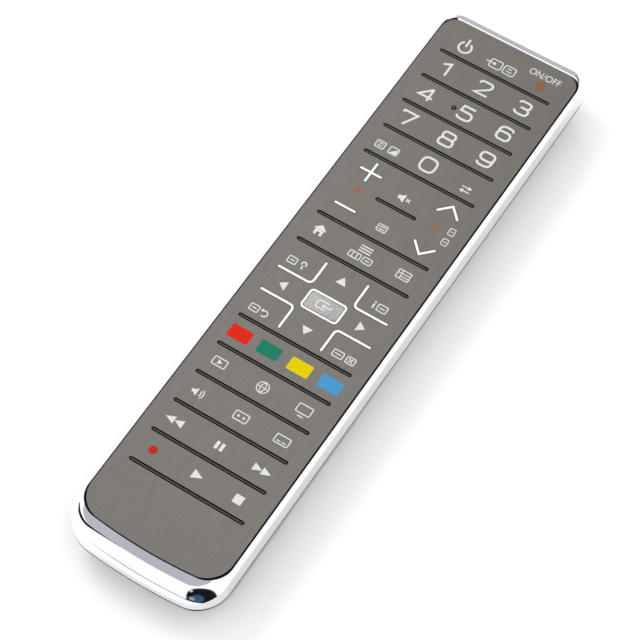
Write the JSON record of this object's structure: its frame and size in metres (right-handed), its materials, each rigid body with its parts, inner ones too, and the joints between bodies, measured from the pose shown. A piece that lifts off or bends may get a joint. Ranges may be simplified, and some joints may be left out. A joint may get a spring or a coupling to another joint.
{
  "type": "tv remote control",
  "caption": "Long slim television remote control with a slotted brushed metal face in a chrome frame, glossy black rear shell with a battery hump.",
  "frame": {"origin": "under the middle of the length and width, on the surface it lies on", "axes": "+Y towards the end that points at the television, +Z out of the key face, +X to the right of the keys"},
  "size_m": [0.0476, 0.199, 0.0172],
  "materials": {
    "key_rubber": "matte silicone",
    "cap_metal": "satin grey",
    "lit_plastic": "satin white",
    "sheet_metal": "finely brushed",
    "chrome": "polished",
    "board": "satin",
    "chips": "matte",
    "emitter": "clear dark",
    "dark_window": "glossy dark",
    "gloss_black": "glossy",
    "cell_case": "satin",
    "contact_metal": "plated",
    "screw_steel": "plain"
  },
  "bodies": {
    "body": {"face_sheet": "sheet_metal", "light_guide": "lit_plastic", "bright_frame": "chrome", "key_mat": "key_rubber", "circuit_board": "board", "board_parts": "chips", "ir_emitters": "emitter", "ir_window": "dark_window", "rear_shell": "gloss_black", "battery_cells": "cell_case", "battery_contacts": "contact_metal", "board_screws": "screw_steel"},
    "battery_cover": {"battery_cover": "gloss_black"},
    "volume_rocker": {"volume_rocker": "lit_plastic"},
    "channel_rocker": {"channel_rocker": "lit_plastic"},
    "key_ok": {"key_ok": "cap_metal"},
    "key_power": {"key_power": "key_rubber"},
    "key_source": {"key_source": "key_rubber"},
    "key_light": {"key_light": "key_rubber"},
    "key_1": {"key_1": "key_rubber"},
    "key_2": {"key_2": "key_rubber"},
    "key_3": {"key_3": "key_rubber"},
    "key_4": {"key_4": "key_rubber"},
    "key_5": {"key_5": "key_rubber"},
    "key_6": {"key_6": "key_rubber"},
    "key_7": {"key_7": "key_rubber"},
    "key_8": {"key_8": "key_rubber"},
    "key_9": {"key_9": "key_rubber"},
    "key_teletext": {"key_teletext": "key_rubber"},
    "key_0": {"key_0": "key_rubber"},
    "key_previous_channel": {"key_previous_channel": "key_rubber"},
    "key_content": {"key_content": "key_rubber"},
    "key_menu": {"key_menu": "key_rubber"},
    "key_guide": {"key_guide": "key_rubber"},
    "key_red": {"key_red": "key_rubber"},
    "key_green": {"key_green": "key_rubber"},
    "key_yellow": {"key_yellow": "key_rubber"},
    "key_blue": {"key_blue": "key_rubber"},
    "key_media": {"key_media": "key_rubber"},
    "key_internet": {"key_internet": "key_rubber"},
    "key_depth": {"key_depth": "key_rubber"},
    "key_audio": {"key_audio": "key_rubber"},
    "key_picture_size": {"key_picture_size": "key_rubber"},
    "key_subtitle": {"key_subtitle": "key_rubber"},
    "key_rewind": {"key_rewind": "key_rubber"},
    "key_pause": {"key_pause": "key_rubber"},
    "key_forward": {"key_forward": "key_rubber"},
    "key_record": {"key_record": "key_rubber"},
    "key_play": {"key_play": "key_rubber"},
    "key_stop": {"key_stop": "key_rubber"},
    "key_mute": {"key_mute": "key_rubber"},
    "key_channel_list": {"key_channel_list": "key_rubber"},
    "key_tools": {"key_tools": "key_rubber"},
    "key_info": {"key_info": "key_rubber"},
    "key_return": {"key_return": "key_rubber"},
    "key_exit": {"key_exit": "key_rubber"},
    "key_up": {"key_up": "key_rubber"},
    "key_down": {"key_down": "key_rubber"},
    "key_left": {"key_left": "key_rubber"},
    "key_right": {"key_right": "key_rubber"}
  },
  "joints": [
    {"name": "battery_cover_slide", "type": "slide", "parent": "body", "child": "battery_cover", "axis": [0, -1, 0], "range_m": [0, 0.058]},
    {"name": "volume_rocker_tilt", "type": "hinge", "parent": "body", "child": "volume_rocker", "pos_m": [-0.0131, 0.03045, 0.01565], "axis": [1, 0, 0], "range_deg": [-1.2, 1.2], "stiffness_Nm_per_rad": 0.3},
    {"name": "channel_rocker_tilt", "type": "hinge", "parent": "body", "child": "channel_rocker", "pos_m": [0.0131, 0.03045, 0.01565], "axis": [1, 0, 0], "range_deg": [-1.2, 1.2], "stiffness_Nm_per_rad": 0.3},
    {"name": "key_ok_press", "type": "slide", "parent": "body", "child": "key_ok", "axis": [0, 0, -1], "range_m": [0, 0.00035], "stiffness_N_per_m": 400, "springref_m": -0.002},
    {"name": "key_power_press", "type": "slide", "parent": "body", "child": "key_power", "axis": [0, 0, -1], "range_m": [0, 0.00035], "stiffness_N_per_m": 400, "springref_m": -0.002},
    {"name": "key_source_press", "type": "slide", "parent": "body", "child": "key_source", "axis": [0, 0, -1], "range_m": [0, 0.00035], "stiffness_N_per_m": 400, "springref_m": -0.002},
    {"name": "key_light_press", "type": "slide", "parent": "body", "child": "key_light", "axis": [0, 0, -1], "range_m": [0, 0.00035], "stiffness_N_per_m": 400, "springref_m": -0.002},
    {"name": "key_1_press", "type": "slide", "parent": "body", "child": "key_1", "axis": [0, 0, -1], "range_m": [0, 0.00035], "stiffness_N_per_m": 400, "springref_m": -0.002},
    {"name": "key_2_press", "type": "slide", "parent": "body", "child": "key_2", "axis": [0, 0, -1], "range_m": [0, 0.00035], "stiffness_N_per_m": 400, "springref_m": -0.002},
    {"name": "key_3_press", "type": "slide", "parent": "body", "child": "key_3", "axis": [0, 0, -1], "range_m": [0, 0.00035], "stiffness_N_per_m": 400, "springref_m": -0.002},
    {"name": "key_4_press", "type": "slide", "parent": "body", "child": "key_4", "axis": [0, 0, -1], "range_m": [0, 0.00035], "stiffness_N_per_m": 400, "springref_m": -0.002},
    {"name": "key_5_press", "type": "slide", "parent": "body", "child": "key_5", "axis": [0, 0, -1], "range_m": [0, 0.00035], "stiffness_N_per_m": 400, "springref_m": -0.002},
    {"name": "key_6_press", "type": "slide", "parent": "body", "child": "key_6", "axis": [0, 0, -1], "range_m": [0, 0.00035], "stiffness_N_per_m": 400, "springref_m": -0.002},
    {"name": "key_7_press", "type": "slide", "parent": "body", "child": "key_7", "axis": [0, 0, -1], "range_m": [0, 0.00035], "stiffness_N_per_m": 400, "springref_m": -0.002},
    {"name": "key_8_press", "type": "slide", "parent": "body", "child": "key_8", "axis": [0, 0, -1], "range_m": [0, 0.00035], "stiffness_N_per_m": 400, "springref_m": -0.002},
    {"name": "key_9_press", "type": "slide", "parent": "body", "child": "key_9", "axis": [0, 0, -1], "range_m": [0, 0.00035], "stiffness_N_per_m": 400, "springref_m": -0.002},
    {"name": "key_teletext_press", "type": "slide", "parent": "body", "child": "key_teletext", "axis": [0, 0, -1], "range_m": [0, 0.00035], "stiffness_N_per_m": 400, "springref_m": -0.002},
    {"name": "key_0_press", "type": "slide", "parent": "body", "child": "key_0", "axis": [0, 0, -1], "range_m": [0, 0.00035], "stiffness_N_per_m": 400, "springref_m": -0.002},
    {"name": "key_previous_channel_press", "type": "slide", "parent": "body", "child": "key_previous_channel", "axis": [0, 0, -1], "range_m": [0, 0.00035], "stiffness_N_per_m": 400, "springref_m": -0.002},
    {"name": "key_content_press", "type": "slide", "parent": "body", "child": "key_content", "axis": [0, 0, -1], "range_m": [0, 0.00035], "stiffness_N_per_m": 400, "springref_m": -0.002},
    {"name": "key_menu_press", "type": "slide", "parent": "body", "child": "key_menu", "axis": [0, 0, -1], "range_m": [0, 0.00035], "stiffness_N_per_m": 400, "springref_m": -0.002},
    {"name": "key_guide_press", "type": "slide", "parent": "body", "child": "key_guide", "axis": [0, 0, -1], "range_m": [0, 0.00035], "stiffness_N_per_m": 400, "springref_m": -0.002},
    {"name": "key_red_press", "type": "slide", "parent": "body", "child": "key_red", "axis": [0, 0, -1], "range_m": [0, 0.00035], "stiffness_N_per_m": 400, "springref_m": -0.002},
    {"name": "key_green_press", "type": "slide", "parent": "body", "child": "key_green", "axis": [0, 0, -1], "range_m": [0, 0.00035], "stiffness_N_per_m": 400, "springref_m": -0.002},
    {"name": "key_yellow_press", "type": "slide", "parent": "body", "child": "key_yellow", "axis": [0, 0, -1], "range_m": [0, 0.00035], "stiffness_N_per_m": 400, "springref_m": -0.002},
    {"name": "key_blue_press", "type": "slide", "parent": "body", "child": "key_blue", "axis": [0, 0, -1], "range_m": [0, 0.00035], "stiffness_N_per_m": 400, "springref_m": -0.002},
    {"name": "key_media_press", "type": "slide", "parent": "body", "child": "key_media", "axis": [0, 0, -1], "range_m": [0, 0.00035], "stiffness_N_per_m": 400, "springref_m": -0.002},
    {"name": "key_internet_press", "type": "slide", "parent": "body", "child": "key_internet", "axis": [0, 0, -1], "range_m": [0, 0.00035], "stiffness_N_per_m": 400, "springref_m": -0.002},
    {"name": "key_depth_press", "type": "slide", "parent": "body", "child": "key_depth", "axis": [0, 0, -1], "range_m": [0, 0.00035], "stiffness_N_per_m": 400, "springref_m": -0.002},
    {"name": "key_audio_press", "type": "slide", "parent": "body", "child": "key_audio", "axis": [0, 0, -1], "range_m": [0, 0.00035], "stiffness_N_per_m": 400, "springref_m": -0.002},
    {"name": "key_picture_size_press", "type": "slide", "parent": "body", "child": "key_picture_size", "axis": [0, 0, -1], "range_m": [0, 0.00035], "stiffness_N_per_m": 400, "springref_m": -0.002},
    {"name": "key_subtitle_press", "type": "slide", "parent": "body", "child": "key_subtitle", "axis": [0, 0, -1], "range_m": [0, 0.00035], "stiffness_N_per_m": 400, "springref_m": -0.002},
    {"name": "key_rewind_press", "type": "slide", "parent": "body", "child": "key_rewind", "axis": [0, 0, -1], "range_m": [0, 0.00035], "stiffness_N_per_m": 400, "springref_m": -0.002},
    {"name": "key_pause_press", "type": "slide", "parent": "body", "child": "key_pause", "axis": [0, 0, -1], "range_m": [0, 0.00035], "stiffness_N_per_m": 400, "springref_m": -0.002},
    {"name": "key_forward_press", "type": "slide", "parent": "body", "child": "key_forward", "axis": [0, 0, -1], "range_m": [0, 0.00035], "stiffness_N_per_m": 400, "springref_m": -0.002},
    {"name": "key_record_press", "type": "slide", "parent": "body", "child": "key_record", "axis": [0, 0, -1], "range_m": [0, 0.00035], "stiffness_N_per_m": 400, "springref_m": -0.002},
    {"name": "key_play_press", "type": "slide", "parent": "body", "child": "key_play", "axis": [0, 0, -1], "range_m": [0, 0.00035], "stiffness_N_per_m": 400, "springref_m": -0.002},
    {"name": "key_stop_press", "type": "slide", "parent": "body", "child": "key_stop", "axis": [0, 0, -1], "range_m": [0, 0.00035], "stiffness_N_per_m": 400, "springref_m": -0.002},
    {"name": "key_mute_press", "type": "slide", "parent": "body", "child": "key_mute", "axis": [0, 0, -1], "range_m": [0, 0.00035], "stiffness_N_per_m": 400, "springref_m": -0.002},
    {"name": "key_channel_list_press", "type": "slide", "parent": "body", "child": "key_channel_list", "axis": [0, 0, -1], "range_m": [0, 0.00035], "stiffness_N_per_m": 400, "springref_m": -0.002},
    {"name": "key_tools_press", "type": "slide", "parent": "body", "child": "key_tools", "axis": [0, 0, -1], "range_m": [0, 0.00035], "stiffness_N_per_m": 400, "springref_m": -0.002},
    {"name": "key_info_press", "type": "slide", "parent": "body", "child": "key_info", "axis": [0, 0, -1], "range_m": [0, 0.00035], "stiffness_N_per_m": 400, "springref_m": -0.002},
    {"name": "key_return_press", "type": "slide", "parent": "body", "child": "key_return", "axis": [0, 0, -1], "range_m": [0, 0.00035], "stiffness_N_per_m": 400, "springref_m": -0.002},
    {"name": "key_exit_press", "type": "slide", "parent": "body", "child": "key_exit", "axis": [0, 0, -1], "range_m": [0, 0.00035], "stiffness_N_per_m": 400, "springref_m": -0.002},
    {"name": "key_up_press", "type": "slide", "parent": "body", "child": "key_up", "axis": [0, 0, -1], "range_m": [0, 0.00035], "stiffness_N_per_m": 400, "springref_m": -0.002},
    {"name": "key_down_press", "type": "slide", "parent": "body", "child": "key_down", "axis": [0, 0, -1], "range_m": [0, 0.00035], "stiffness_N_per_m": 400, "springref_m": -0.002},
    {"name": "key_left_press", "type": "slide", "parent": "body", "child": "key_left", "axis": [0, 0, -1], "range_m": [0, 0.00035], "stiffness_N_per_m": 400, "springref_m": -0.002},
    {"name": "key_right_press", "type": "slide", "parent": "body", "child": "key_right", "axis": [0, 0, -1], "range_m": [0, 0.00035], "stiffness_N_per_m": 400, "springref_m": -0.002}
  ]
}
